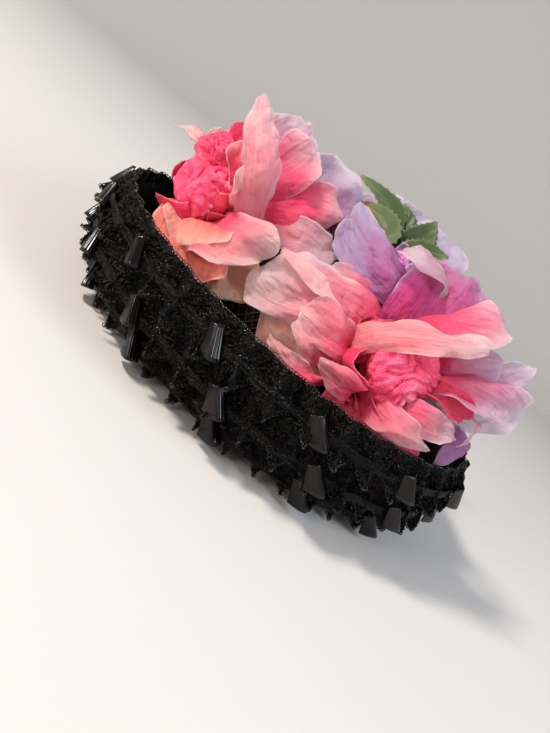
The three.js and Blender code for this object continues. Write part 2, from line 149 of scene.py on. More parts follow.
def rough_cloth(name, dark, light, roughness, grain, depth, shine):
    """Dark matt cloth or straw whose colour and surface vary with a fine grain."""
    look, tree, shader = new_look(name, dark, {
        "Roughness": roughness, "Specular IOR Level": shine})
    fine = noise_over(tree, object_place(tree), 1 / (grain * MM), 3)
    set_inputs(tree, shader, {
        "Base Color": colour_steps(tree, fine, ((0.35, dark), (0.75, light))),
        "Normal": bump_on(tree, fine, depth, 0.8)})
    return look


def oval(turn, half_width, half_length, height):
    return np.array((half_width * math.cos(turn), half_length * math.sin(turn), height))


def oval_ring(columns, half_width, half_length, height):
    return [oval(FULL_TURN * step / columns, half_width, half_length, height)
            for step in range(columns)]


def dome_point(turn, level, lift):
    """A point of the crown's surface, level running from its foot to its top."""
    marks = np.linspace(0, 1, len(CROWN_RISE))
    rise = np.interp(level, marks, CROWN_RISE)
    spread = np.interp(level, marks, CROWN_SPREAD)
    return oval(turn, CROWN_HALF_WIDTH * spread + lift, CROWN_HALF_LENGTH * spread + lift,
                CROWN_FOOT + rise * (CROWN_TOP - CROWN_FOOT) + lift * level ** 3)


def ring_faces(rings, wrap=False):
    """Faces of a skin over equal rings. A wrapped skin joins the last ring to the first."""
    count = len(rings[0])
    faces = []
    for ring in range(len(rings) if wrap else len(rings) - 1):
        here, above = ring * count, (ring + 1) % len(rings) * count
        for step in range(count):
            beside = (step + 1) % count
            faces.append((here + step, here + beside, above + beside, above + step))
    return faces


def new_tree(name, shape, sizes, result):
    """A tree of Geometry Nodes and the sockets of its named inputs: a shape and its sizes."""
    tree = bpy.data.node_groups.new(name, "GeometryNodeTree")
    tree.interface.new_socket(shape, in_out="INPUT", socket_type="NodeSocketGeometry")
    for size in sizes:
        tree.interface.new_socket(size, in_out="INPUT", socket_type="NodeSocketFloat")
    tree.interface.new_socket(result, in_out="OUTPUT", socket_type="NodeSocketGeometry")
    return tree, tree.nodes.new("NodeGroupInput").outputs


def level_curve(tree, mesh):
    """The curve along the edges of a mesh, with one side of it kept level."""
    curve = add_node(tree, "GeometryNodeMeshToCurve", {"Mesh": mesh})
    return add_node(tree, "GeometryNodeSetCurveNormal", {"Curve": curve}, mode="Z_UP")


def as_plain_piece(source, tree, geometry, sizes, look):
    """What a tree makes of an object, as a plain mesh piece with its material in its place."""
    real = add_node(tree, "GeometryNodeRealizeInstances", {"Geometry": geometry})
    painted = add_node(tree, "GeometryNodeSetMaterial", {"Geometry": real, "Material": look})
    add_node(tree, "NodeGroupOutput", {0: painted})
    modifier = source.modifiers.new("shape", "NODES")
    modifier.node_group = tree
    for socket in tree.interface.items_tree:
        if socket.name in sizes:
            modifier[socket.identifier] = sizes[socket.name]
    seen = source.evaluated_get(bpy.context.evaluated_depsgraph_get())
    mesh = bpy.data.meshes.new_from_object(seen)
    name = source.name
    bpy.data.objects.remove(source)
    return new_object(name, mesh)


def sweep_straws(name, paths, look):
    """Straws along paths. Geometry Nodes sweep a flat section along each path."""
    points, edges = [], []
    for path in paths:
        edges.extend((len(points) + step, len(points) + step + 1) for step in range(len(path) - 1))
        points.extend(path)
    sizes = {"Width": STRAW_WIDTH * MM, "Thickness": STRAW_THICKNESS * MM}
    tree, given = new_tree(f"{name}_sweep", "Paths", sizes, "Straws")
    section = add_node(tree, "GeometryNodeCurvePrimitiveCircle", {
        "Resolution": STRAW_CORNERS, "Radius": 0.5})
    size = add_node(tree, "ShaderNodeCombineXYZ", {
        "X": given["Thickness"], "Y": given["Width"], "Z": 1})
    sized = add_node(tree, "GeometryNodeTransform", {"Geometry": section, "Scale": size})
    sweep = add_node(tree, "GeometryNodeCurveToMesh", {
        "Curve": level_curve(tree, given["Paths"]), "Profile Curve": sized, "Fill Caps": True})
    return as_plain_piece(new_mesh(name, points, edges, []), tree, sweep, sizes, look)


crown_net_look = rough_cloth("crown_net", (0.003, 0.002, 0.002), (0.018, 0.01, 0.007), 0.75, 0.9,
                             0.3, 0.1)
straw_look = rough_cloth("black_straw", (0.006, 0.004, 0.004), (0.035, 0.024, 0.02), 0.38, 1.6,
                         0.2, 0.35)

net_inside, net_outside = (
    [[dome_point(FULL_TURN * step / NET_COLUMNS, level, lift) for step in range(NET_COLUMNS)]
     for level in np.linspace(0, 1, NET_ROWS)] for lift in (-NET_INSET - NET_WALL, -NET_INSET))
net_rings = [*reversed(net_inside), *net_outside]
net_faces = ring_faces(net_rings)
net_faces.append(tuple(reversed(range(NET_COLUMNS))))
net_end = len(net_rings) * NET_COLUMNS
net_faces.append(tuple(range(net_end - NET_COLUMNS, net_end)))
crown_net = new_piece("crown_net", net_rings, net_faces, crown_net_look)

straw_paths = []
straw_twist = math.pi * CROSSINGS / STRAWS_EACH_WAY
for way in (1, -1):
    for straw in range(STRAWS_EACH_WAY):
        path = []
        for crossing in range(int(CROSSINGS * STRAW_STOP) + 1):
            level = crossing / CROSSINGS
            turn = FULL_TURN * straw / STRAWS_EACH_WAY + way * straw_twist * level
            over = way * STRAW_WAVE * (-1) ** crossing
            path.append(dome_point(turn, level, over - STRAW_INSET))
        straw_paths.append(path)
crown_straw = sweep_straws("crown_straw", straw_paths, straw_look)
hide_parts("crown")
for piece in (crown_net, crown_straw):
    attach(piece, "root")

# Brim: one deep bowl of buckram covered in black cloth, sewn to the foot of the crown. Its
# edge is bound, so it ends in a rounded lip.
BRIM_WALL = 2.2
BRIM_COLUMNS = 128
BRIM_HEIGHT = (8.2, 10, 18, 34, 60)
BRIM_HALF_WIDTH = (86.5, 103, 119, 129.5, 134.5)
BRIM_HALF_LENGTH = (101.5, 118, 132, 139, 141.5)
BRIM_ROWS = 14


def brim_rings(offset):
    rings = []
    for along in np.linspace(0, len(BRIM_HEIGHT) - 1, BRIM_ROWS):
        height, half_width, half_length = (
            np.interp(along, range(len(sizes)), sizes)
            for sizes in (BRIM_HEIGHT, BRIM_HALF_WIDTH, BRIM_HALF_LENGTH))
        rings.append(oval_ring(BRIM_COLUMNS, half_width + offset, half_length + offset, height))
    return rings


brim_look = rough_cloth("brim_cloth", (0.001, 0.001, 0.001), (0.006, 0.005, 0.005), 0.85, 0.7, 0.3,
                        0.1)
all_rings = [*reversed(brim_rings(-BRIM_WALL / 2)), *brim_rings(BRIM_WALL / 2)]
brim = new_piece("brim_bowl", all_rings, ring_faces(all_rings, True), brim_look)
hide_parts("brim")
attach(brim, "root")

# Lace: three tiers of black crochet lace, each hung from a seam and set in knife pleats that
# lean over one way. The ground is an open net with thicker cords, and both edges have picots.
PLEATS = 42
CELLS_PER_PLEAT = 20
LACE_ROWS = 20
LACE_WALL = 0.7
LOOP_STEP = 1.3
LOOP_DEPTH = 0.91
PLEAT_OVERHANG = 0.13
PLEAT_WAVER = 0.9
PLEAT_CHANCE = 1.6
LACE_TWIST = 3
LACE_RAGGED = 8
LACE_RISE = 3
LACE_LIFT = 0.5
LACE_LOWEST = 1.1
CORD_RAISE = 0.9
CORD_ROWS = (5, 14.5)
CORD_WAVE = 3.2
CORD_WIDTH = 1.6
CORD_SOLID = 0.35
SCALLOP_CELLS = 10
SCALLOP_DEPTH = 0.085
LACE_LUMPS = 0.5
LACE_JITTER = 0.55
KNOT_RADIUS = 0.55
KNOTS_PER_SQUARE_METRE = 62000
PICOT_RADIUS = 1.25
PICOT_THREAD = 0.7
PICOT_CORNERS = 7
THREAD_CORNERS = 3
PICOT_SPACING = 2.3
# The top and foot of a tier are its height, half width, half length and depth of pleats there.
LACE_TIERS = (
    {"node": "lace_lower", "top": (25, 126.5, 138, 0.6), "foot": (1.6, 117, 132, 5.5)},
    {"node": "lace_middle", "top": (46, 134.7, 143.3, 0.7), "foot": (18, 135.5, 146, 6.5)},
    {"node": "lace_upper", "top": (67, 138.2, 145.2, 1.6), "foot": (40, 143, 150.8, 6.5)},
)


def tier_seed(tier):
    return tier["top"][0] * 1.7


def lace_point(tier, across, level):
    """A point of a tier: across counts pleats round the hat, level is 1 at the seam."""
    height, half_width, half_length, depth = (
        foot + (top - foot) * level for top, foot in zip(tier["top"], tier["foot"]))
    pleat, part = divmod(across % PLEATS, 1)
    chance = PLEAT_CHANCE * noise.noise((pleat * 3.1 + 0.5, tier_seed(tier), 0.4))
    depth *= 1 + 0.5 * chance
    loose = 1 - level
    phase = FULL_TURN * part
    swell = (-math.cos(phase)
             + PLEAT_WAVER * (0.2 + loose) * noise.noise((across * 2.3, level * 2.2, 7)))
    overhang = PLEAT_OVERHANG * math.sin(phase) * (0.4 + loose)
    turn = FULL_TURN * (across + overhang) / PLEATS + math.radians(LACE_TWIST) * loose
    drop = loose * (LACE_RAGGED * ((1 + math.cos(phase)) / 2) ** 2 + LACE_RISE * max(0, chance))
    return oval(turn, half_width + swell * depth, half_length + swell * depth,
                max(LACE_LOWEST, height + drop + LACE_LIFT))


def lace_sheet(tier, look):
    """The net of one tier, with its raised cords and its holes, and its grid of points."""
    columns = PLEATS * CELLS_PER_PLEAT
    points = np.zeros((LACE_ROWS + 1, columns, 3))
    raised, lumps = np.zeros((2, LACE_ROWS + 1, columns))
    for row in range(LACE_ROWS + 1):
        for column in range(columns):
            scallop = abs(math.sin(math.pi * column / SCALLOP_CELLS))
            level = 1 - row / LACE_ROWS * (1 - SCALLOP_DEPTH * (1 - scallop))
            points[row, column] = lace_point(tier, column / CELLS_PER_PLEAT, level)
            wave = CORD_WAVE * math.sin(math.pi * column / SCALLOP_CELLS)
            away = min(abs(row - middle - way * wave) for middle in CORD_ROWS for way in (1, -1))
            raised[row, column] = max(0, 1 - away / CORD_WIDTH)
            lumps[row, column] = noise.noise((column * 0.9, row * 0.9, tier_seed(tier)))
    along = np.roll(points, -1, 1) - np.roll(points, 1, 1)
    normals = np.cross(np.gradient(points, axis=0), along)
    normals /= np.linalg.norm(normals, axis=2, keepdims=True)
    lift = raised * CORD_RAISE * (0.7 + lumps) + LACE_LUMPS * lumps
    points += normals * lift[:, :, None]
    points += np.random.default_rng(len(tier["node"])).uniform(
        -LACE_JITTER, LACE_JITTER, points.shape) * (1, 1, 0.6)
    points[:, :, 2] = np.maximum(points[:, :, 2], LACE_LOWEST)
    faces = []
    for row in range(LACE_ROWS):
        open_row = row % 2 == 1 and row > 5 or row > 0.65 * LACE_ROWS
        edge = row in (0, LACE_ROWS - 1)
        for column in range(columns):
            beside = (column + 1) % columns
            cord = max(raised[row, column], raised[row + 1, beside]) > CORD_SOLID
            if open_row and not edge and not cord and (column + row // 2 % 2) % 2 == 0:
                continue
            faces.append((row * columns + column, row * columns + beside,
                          (row + 1) * columns + beside, (row + 1) * columns + column))
    return new_piece(f"{tier['node']}_net", points, faces, look, False), points


def knots_on(source, name, look, seed):
    """Small thread knots scattered over a sheet with Geometry Nodes."""
    sizes = {"Density": KNOTS_PER_SQUARE_METRE, "Radius": KNOT_RADIUS * MM}
    tree, given = new_tree(f"{name}_scatter", "Sheet", sizes, "Knots")
    places = add_node(tree, "GeometryNodeDistributePointsOnFaces", {
        "Mesh": given["Sheet"], "Density": given["Density"], "Seed": seed})
    knot = add_node(tree, "GeometryNodeMeshIcoSphere", {
        "Radius": given["Radius"], "Subdivisions": 1})
    put = add_node(tree, "GeometryNodeInstanceOnPoints", {"Points": places, "Instance": knot})
    return as_plain_piece(new_object(name, source.data.copy()), tree, put, sizes, look)


def picots_along(name, ring, look):
    """Thread loops that stand side by side along an edge, placed with Geometry Nodes."""
    sizes = {"Spacing": PICOT_SPACING * MM, "Loop radius": PICOT_RADIUS * MM,
             "Thread radius": PICOT_THREAD / 2 * MM}
    tree, given = new_tree(f"{name}_loops", "Edge", sizes, "Loops")
    places = add_node(tree, "GeometryNodeCurveToPoints", {
        "Curve": level_curve(tree, given["Edge"]), "Length": given["Spacing"]}, mode="LENGTH")
    loop = add_node(tree, "GeometryNodeCurvePrimitiveCircle", {
        "Resolution": PICOT_CORNERS, "Radius": given["Loop radius"]})
    thread = add_node(tree, "GeometryNodeCurvePrimitiveCircle", {
        "Resolution": THREAD_CORNERS, "Radius": given["Thread radius"]})
    swept = add_node(tree, "GeometryNodeCurveToMesh", {"Curve": loop, "Profile Curve": thread})
    upright = add_node(tree, "GeometryNodeTransform", {
        "Geometry": swept, "Rotation": (0, math.pi / 2, 0)})
    put = add_node(tree, "GeometryNodeInstanceOnPoints", {
        "Points": places, "Rotation": places.outputs["Rotation"], "Instance": upright})
    edge = new_mesh(name, ring, [(step, (step + 1) % len(ring)) for step in range(len(ring))], [])
    return as_plain_piece(edge, tree, put, sizes, look)


def lace_thread(name, roughness, shine):
    """Black thread looped into crochet: tight cells with a slight gloss on the raised loops. Its colour
    is darker in the grooves between the loops, as painted shade.
    """
    look, tree, shader = new_look(name, (0.004, 0.003, 0.003), {
        "Roughness": roughness, "Specular IOR Level": shine})
    loops = add_node(tree, "ShaderNodeTexVoronoi", {
        "Vector": object_place(tree), "Scale": 1 / (LOOP_STEP * MM)})
    # Painted shade: the colour is lighter on the raised loops and darker in the grooves between them.
    painted_shade_tones = ((0.1, (0.010, 0.008, 0.007)), (0.55, (0.001, 0.001, 0.001)))
    set_inputs(tree, shader, {
        "Base Color": colour_steps(tree, loops, painted_shade_tones),
        "Normal": bump_on(tree, loops, LOOP_DEPTH, 1, invert=True)})
    return look


def thicken(piece, wall):
    thick = piece.modifiers.new("wall", "SOLIDIFY")
    thick.thickness = wall * MM
    thick.offset = 0


lace_look = lace_thread("lace_thread", 0.34, 0.1)
loop_look = lace_thread("lace_loops", 0.2, 0.6)
for number, tier in enumerate(LACE_TIERS):
    net, surface = lace_sheet(tier, lace_look)
    knots = knots_on(net, f"{tier['node']}_knots", loop_look, seed=number + 3)
    thicken(net, LACE_WALL)
    edges = [picots_along(f"{tier['node']}_picots_{place}", surface[row], loop_look)
             for place, row in (("foot", -1), ("top", 0))]
    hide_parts(tier["node"])
    for piece in (net, knots, *edges):
        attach(piece, "root")

# Ribbon: glossy black ribbed ribbon, folded lengthwise into stiff tabs. Each row of tabs is sewn
# to a narrow crochet band that goes round the hat between the folds of a tier.
TABS_PER_ROW = 14
TAB_ROWS = 9
TAB_COLUMNS = 17
TAB_LENGTH = 19
TAB_TOP_WIDTH = 8
TAB_FOOT_WIDTH = 13
TAB_RIDGE = 5.6
TAB_PEAK = 0.42
TAB_SLANT = 36
SLANT_CHANCE = 16
TAB_LIFT = 1.6
TAB_INSET = 0.2
TAB_FOOT_SLOPE = 0.24
TAB_GAP = 30
RIBBON_WALL = 0.5
RIB_STEP = 1.1
RIB_DEPTH = 0.25
BAND_COLUMNS = 400
BAND_RISES = (-2.5, -1.2, 0, 1.2, 2.5)
BAND_INSET = 1.5
# The first of a row is the angle of its first tab.
RIBBON_ROWS = (
    {"node": "ribbon_lower", "middle": 12.4, "half_width": 126.6, "half_length": 139.8,
     "first": -25},
    {"node": "ribbon_middle", "middle": 30, "half_width": 139.4, "half_length": 149.4,
     "first": -27.5},
    {"node": "ribbon_upper", "middle": 54, "half_width": 145.6, "half_length": 153.2,
     "first": -35},
)


def threads_over(tree, flat, step, waver, way):
    """Fine ridges across or along the flat map of a cloth, a step apart."""
    return add_node(tree, "ShaderNodeTexWave", {
        "Vector": flat, "Scale": math.pi / (10 * step * MM), "Distortion": waver},
        bands_direction=way).outputs["Fac"]


def flat_map(tree):
    return add_node(tree, "ShaderNodeUVMap", uv_map="flat")


def ribbon_gloss():
    look, tree, shader = new_look("black_ribbon", (0.003, 0.002, 0.002), {
        "Roughness": 0.17, "Specular IOR Level": 0.3})
    ribs = threads_over(tree, flat_map(tree), RIB_STEP, 0.3, "X")
    set_inputs(tree, shader, {"Normal": bump_on(tree, ribs, RIB_DEPTH, 0.55)})
    return look


def tab_grid(turn, row, chance):
    """One folded tab as a grid of points, from its top end to its foot."""
    centre = oval(turn, row["half_width"], row["half_length"], row["middle"])
    out = np.array((math.cos(turn) / row["half_width"], math.sin(turn) / row["half_length"], 0))
    out /= np.linalg.norm(out)
    slant = math.radians(TAB_SLANT + SLANT_CHANCE * chance)
    level = np.array((-out[1], out[0], 0))
    down = np.array((0, 0, -math.cos(slant))) + level * math.sin(slant)
    across = np.cross(out, down)
    peak = TAB_PEAK + 0.2 * chance
    grid = []
    for along in np.linspace(0, 1, TAB_ROWS):
        width = TAB_TOP_WIDTH + (TAB_FOOT_WIDTH - TAB_TOP_WIDTH) * along ** 1.5
        ridge = TAB_RIDGE * (0.5 + 0.5 * math.sin(math.pi / 2 * along))
        line = []
        for aside in np.linspace(-1, 1, TAB_COLUMNS):
            side = (aside - peak) / (1 - peak if aside > peak else 1 + peak)
            height = ridge * (1 - abs(side) ** 1.5)
            length = along * (1 - TAB_FOOT_SLOPE * ((1 - aside) / 2) ** 1.5)
            line.append(centre + down * TAB_LENGTH * (length - 0.5) + across * width / 2 * aside
                        + out * (height + TAB_LIFT * along ** 2 - TAB_INSET))
        grid.append(line)
    return np.array(grid)


def band_rings(row):
    """The rings of points of a crochet band, which wavers as it goes round."""
    rings = []
    for rise in BAND_RISES:
        ring = []
        for step in range(BAND_COLUMNS):
            out = 1.6 * noise.noise((step / 6, rise, row["middle"]))
            ring.append(oval(FULL_TURN * step / BAND_COLUMNS, row["half_width"] - BAND_INSET + out,
                             row["half_length"] - BAND_INSET + out,
                             row["middle"] + rise + 1.5 * noise.noise((step / 9, row["middle"], 5))))
        rings.append(ring)
    return rings


def grid_faces(rows, columns, first=0):
    return [(first + row * columns + column, first + row * columns + column + 1,
             first + (row + 1) * columns + column + 1, first + (row + 1) * columns + column)
            for row in range(rows - 1) for column in range(columns - 1)]


def lay_flat(piece, flat):
    """Gives a piece the map of its cloth before it was folded, in metres."""
    layer = piece.data.uv_layers.new(name="flat")
    corners = np.zeros(len(piece.data.loops), dtype=int)
    piece.data.loops.foreach_get("vertex_index", corners)
    layer.data.foreach_set("uv", (np.asarray(flat)[corners] * MM).ravel())


ribbon_look = ribbon_gloss()
for row in RIBBON_ROWS:
    points, faces, flat = [], [], []
    for tab in range(TABS_PER_ROW):
        turn = math.radians(row["first"] + tab / TABS_PER_ROW * 360)
        chance = noise.noise((tab * 2.7, row["middle"], 3))
        faces.extend(grid_faces(TAB_ROWS, TAB_COLUMNS, len(points)))
        points.extend(tab_grid(turn, row, chance).reshape(-1, 3))
        flat.extend((TAB_GAP * tab + 0.9 * column, TAB_LENGTH / (TAB_ROWS - 1) * line)
                    for line in range(TAB_ROWS) for column in range(TAB_COLUMNS))
    tabs = new_piece(f"{row['node']}_tabs", points, faces, ribbon_look)
    lay_flat(tabs, flat)
    rings = band_rings(row)
    band = new_piece(f"{row['node']}_band", rings, ring_faces(rings), lace_look, False)
    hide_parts(row["node"])
    for piece in (tabs, band):
        thicken(piece, RIBBON_WALL)
        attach(piece, "root")

# Roses: each petal is a piece of sheer organza, dyed deep at its foot and pale at its rim. Its
# foot is sewn in a calyx, its cloth is creased, and its rim is cut by hand and waves freely.
PETAL_ROWS = 32
PETAL_COLUMNS = 25
PETAL_FOOT = 0.5
EDGE_SHORTENING = 0.14
TIP_TAPER = 2.8
RAGGED = 0.08
CALYX_RADIUS = 11
ORGANZA_WALL = 0.3
FOLD_LINES = 5
FOLD = 4.2
FOLD_WIDTH = 12
CRUMPLE = 0.9
CRUMPLE_SIZE = 15
RUFFLE = 5.6
RUFFLE_SIZE = 13
RUFFLE_AT_RIM = 5
CLOTH_CLEARANCE = 1.8
CROWN_SHOULDER = 0.8
RIM_CLEARANCE = 3.4
SPILL_HEIGHT = 62
SPILL_SLOPE = 0.8
# A calyx has a place and the way that its rose faces.
CALYXES = {
    "rose_1": ((52, -90, 81), (0.62, -0.38, 0.68)),
    "rose_2": ((76, 50, 78), (0.7, 0.25, 0.62)),
    "rose_3": ((37, 26, 114), (0.4, 0, 0.92)),
    "rose_4": ((-54, -8, 110), (-0.45, 0, 0.89)),
}


def petal(line, left, right, end, fade, cool, foot=PETAL_FOOT, cream=0, rough=1, loose=False):
    """What describes a petal. Its line runs from near the calyx, or from its own foot where it is
    loose, to its tip. Left and right are its edges at the line's last point but one, where it is
    widest, and foot and end are the shares of that width at its foot and its tip. Fade is how
    pale it is at foot and rim: its dye, and painted shade for a few petals that lie in shadow.
    Cool is how violet it is: violet dye, and on the pink roses partly painted cool light. Cream
    is how yellow it is, and rough how folded."""
    return {"line": line, "left": left, "right": right, "end": end, "fade": fade, "cool": cool,
            "foot": foot, "cream": cream, "rough": rough, "loose": loose}


# In the two pink roses, the cool of the petals that face up or lie towards the back is partly painted
# cool light.
ROSE_1 = (
    petal(((10, -46, 137), (6, -44, 161)), (8, -71, 138), (10, -22, 138), 0.85, (0.05, 0.95), 0.9),
    petal(((38, -83, 144), (30, -80, 164)), (44, -100, 144), (34, -64, 147), 0.5, (0.1, 0.9), 0.6),
    petal(((50, -41, 120), (38, -24, 127)), (40, -46, 142), (60, -36, 100), 0.5, (0, 0.8), 0.1),
    petal(((50, -65, 139), (44, -63, 157)), (46, -81, 148), (50, -49, 139), 0.4, (0, 0.85), 0.25),
    petal(((58, -95, 126), (58, -97, 141)), (62, -103, 129), (60, -85, 131), 0.5, (0, 0.4), 0),
    petal(((40, -112, 98), (54, -114, 118), (54, -111, 128)), (60, -117, 121), (54, -109, 119), 0.3,
          (0.7, 1), 0),
    petal(((46, -114, 94), (62, -116, 113), (64, -131, 108)), (68, -114, 109), (58, -120, 116), 0.3,
          (0.6, 1), 0),
    petal(((56, -78, 100), (74, -84, 120), (74, -92, 132)), (80, -91, 118), (72, -77, 124), 0.5,
          (0.15, 0.7), 0),
    petal(((64, -71, 96), (84, -74, 113), (84, -80, 124)), (90, -80, 111), (80, -70, 115), 0.4, (0.5, 1),
          0.1),
    petal(((74, -61, 94), (90, -74, 127), (72, -100, 159)), (84, -83, 122), (80, -66, 131), 0.2,
          (0.5, 1), 0.2, foot=0.5),
    petal(((98, -68, 66), (104, -63, 59)), (94, -100, 68), (98, -46, 70), 0.75, (0, 0.6), 0, cream=0.5),
    petal(((88, -40, 68), (90, -32, 62)), (95, -49, 56), (78, -28, 79), 0.75, (0.55, 0.95), 0,
          cream=0.7),
    petal(((94, -81, 74), (100, -81, 68)), (88, -100, 74), (98, -59, 89), 0.7, (0.1, 0.9), 0,
          cream=0.45),
    petal(((96, -50, 89), (92, -35, 93)), (86, -51, 105), (104, -62, 71), 0.55, (0.3, 1), 0.05),
    petal(((56, -22, 110), (52, -7, 111)), (48, -23, 121), (62, -18, 102), 0.6, (0.6, 0.95), 0.4),
)
ROSE_2 = (
    petal(((80, 118, 79), (84, 114, 66)), (86, 107, 82), (74, 125, 83), 0.6, (0.3, 0.6), 1),
    petal(((60, 55, 141), (50, 53, 161)), (66, 27, 139), (50, 92, 144), 0.8, (0, 0.6), 0.85, rough=1.6),
    petal(((60, 41, 151), (70, 26, 151), (70, 13, 145)), (76, 30, 143), (60, 23, 157), 0.3, (0.8, 1),
          0.5),
    petal(((60, 112, 129), (50, 121, 145)), (58, 105, 133), (56, 126, 131), 0.2, (0.1, 1), 0.8),
    petal(((56, 129, 120), (50, 135, 131)), (50, 122, 132), (58, 138, 111), 0.6, (0.85, 1), 0.8),
    petal(((74, 95, 127), (68, 106, 134)), (72, 86, 134), (80, 106, 118), 0.5, (0.1, 0.9), 0.7),
    petal(((68, 20, 106), (62, -10, 110)), (70, 15, 95), (62, 22, 115), 0.7, (0, 0.9), 0.25),
    petal(((84, 22, 99), (90, -6, 93), (84, -38, 92)), (98, -12, 72), (76, -4, 113), 1, (0.35, 1.05),
          0.2),
    petal(((86, -6, 71), (79, -25, 75)), (91, -3, 62), (76, -11, 79), 0.5, (0.7, 0.95), 0.1, cream=0.3),
    petal(((88, -9, 61), (84, -21, 69)), (94, -8, 52), (82, -11, 70), 0.5, (0.6, 0.8), 0.2, cream=0.5),
    petal(((102, 16, 78), (98, -4, 83)), (108, 11, 69), (96, 14, 85), 0.5, (0.3, 0.9), 0.05),
    petal(((106, 21, 89), (102, -5, 86)), (112, 21, 80), (98, 18, 98), 0.35, (0.2, 0.9), 0.1),
    petal(((90, -34, 102), (96, -4, 103), (100, 19, 101)), (100, -2, 99), (92, -4, 107), 1.2, (0.85, 1),
          0.2, foot=0.4, loose=True),
    petal(((100, 92, 103), (94, 108, 101)), (98, 92, 113), (106, 89, 97), 0.4, (0, 0.25), 0.1),
    petal(((94, 103, 118), (80, 130, 116)), (80, 113, 130), (102, 98, 108), 0.7, (0.2, 1), 0.6),
    petal(((88, 117, 95), (90, 115, 82)), (90, 111, 98), (84, 121, 97), 0.3, (0.7, 0.95), 0.4),
    # This low, wide petal keeps a deep crimson colour to its rim as painted shade, for a layer that lies
    # in shadow under the petals above it.
    petal(((108, 64, 67), (112, 64, 59)), (110, 35, 62), (104, 100, 69), 0.8, (0, 0.12), 0.1),
    petal(((112, 21, 63), (106, -8, 65)), (114, 16, 57), (108, 22, 67), 0.5, (0.2, 0.85), 0),
    petal(((114, 43, 76), (110, 22, 73)), (116, 43, 67), (112, 46, 82), 0.5, (0.05, 0.8), 0.1),
    petal(((112, 87, 89), (102, 109, 94)), (106, 85, 95), (116, 89, 83), 0.35, (0.3, 0.9), 0.3),
    petal(((119, 76, 76), (112, 102, 75)), (113, 76, 86), (121, 73, 68), 0.4, (0.4, 0.95), 0.2,
          foot=0.8),
    petal(((88, 61, 135), (92, 91, 152)), (78, 60, 138), (98, 68, 127), 0.6, (0, 0.9), 0.25),
    petal(((100, 30, 92), (112, 50, 117), (98, 86, 137)), (104, 44, 121), (114, 56, 112), 0.5, (0.55, 1),
          0.05, foot=0.9),
)
ROSE_3 = (
    petal(((50, 43, 121), (64, 23, 127), (52, -4, 131), (40, -22, 139)), (56, -6, 115), (40, -8, 146),
          0.5, (0.35, 0.95), 1, foot=0.6, rough=1.5, loose=True),
    petal(((50, 11, 122), (48, -4, 116)), (54, 12, 111), (42, 10, 135), 0.5, (0.2, 0.9), 1),
    petal(((46, 29, 116), (50, 30, 111)), (50, 16, 115), (48, 44, 116), 0.7, (0.05, 0.5), 0.9),
    petal(((14, 30, 136), (8, 29, 144)), (14, 14, 140), (12, 46, 141), 0.7, (0.1, 0.8), 1),
)
# The far rose lies open. Its petals go round its calyx, each with the angle of its tip, how far
# the tip is from the rose's axis and how high along it, and the petal's width.
ROSE_4_ROUND = (
    (0, 76, 14, 68), (55, 46, 26, 52), (125, 46, 26, 52), (177, 86, 14, 74), (226, 66, 6, 70),
    (270, 60, 4, 66), (314, 66, 6, 70), (245, 40, 42, 60), (200, 36, 40, 46), (330, 36, 38, 46))
ROSE_4_BACK = petal(((-58, 28, 150), (-62, 22, 172)), (-60, -13, 157), (-60, 65, 158), 0.2,
                    (0.5, 1), 1)


def unit(vector):
    vector = np.asarray(vector, dtype=float)
    return vector / np.linalg.norm(vector)


def calyx_of(rose):
    """A calyx's place, and the way that its rose faces."""
    place, axis = CALYXES[rose]
    return np.array(place, dtype=float), unit(axis)


def ways_round(rose, degrees):
    """The ways outward and sideways at an angle round a rose's axis."""
    axis = calyx_of(rose)[1]
    right = unit(np.cross((0, 0, 1), axis))
    turn = math.radians(degrees)
    outward = right * math.cos(turn) + np.cross(axis, right) * math.sin(turn)
    return outward, np.cross(axis, outward)


def line_marks(line):
    """How far along a line each of its points lies, from 0 to 1."""
    steps = np.linalg.norm(np.diff(line, axis=0), axis=1)
    return np.concatenate(([0], np.cumsum(steps))) / steps.sum()


def on_line(line, marks, part):
    """Points of the smooth line through a few points, for an array of parts from 0 to 1."""
    result = np.zeros((*np.shape(part), 3))
    for here, mark in enumerate(marks):
        weight = np.ones(np.shape(part))
        for other, other_mark in enumerate(marks):
            if other != here:
                weight *= (part - other_mark) / (mark - other_mark)
        result += weight[..., None] * line[here]
    return result


def grid_normals(grid):
    normals = np.cross(np.gradient(grid, axis=1), np.gradient(grid, axis=0))
    return normals / (np.linalg.norm(normals, axis=2, keepdims=True) + 1e-9)


def round_petal(rose, place, fade, cool):
    """A petal that goes round a calyx, from its angle, reach, rise and width."""
    degrees, reach, rise, width = place
    calyx, axis = calyx_of(rose)
    outward, sideways = ways_round(rose, degrees)
    middle = calyx + outward * reach * 0.62 + axis * rise / 2
    tip = calyx + outward * reach + axis * rise
    lift = axis * width * 0.12
    return petal((middle, tip), middle - sideways * width / 2 + lift,
                 middle + sideways * width / 2 + lift, 0.6, fade, cool)


def cup_petals(rose, radius, turns, cool):
    """Ruffled petals that wrap the lower half of a heart, each over the edge of the last."""
    calyx, axis = calyx_of(rose)
    cups = []
    for step, degrees in enumerate(turns):
        outward, sideways = ways_round(rose, degrees)
        outer = step % 2
        around = radius * (1.02 + 0.06 * outer)
        middle = calyx + outward * around + axis * (3 + radius * 0.6)
        tip = (calyx + outward * radius * (1 + 0.15 * outer)
               + axis * (3 + radius * (1.15 + 0.25 * outer)))
        back = outward * around * 0.45
        cups.append(petal((middle, tip), middle - sideways * around * 0.9 - back,
                          middle + sideways * around * 0.9 - back, 0.6, (0.05, 0.3), cool,
                          rough=1.2))
    return cups


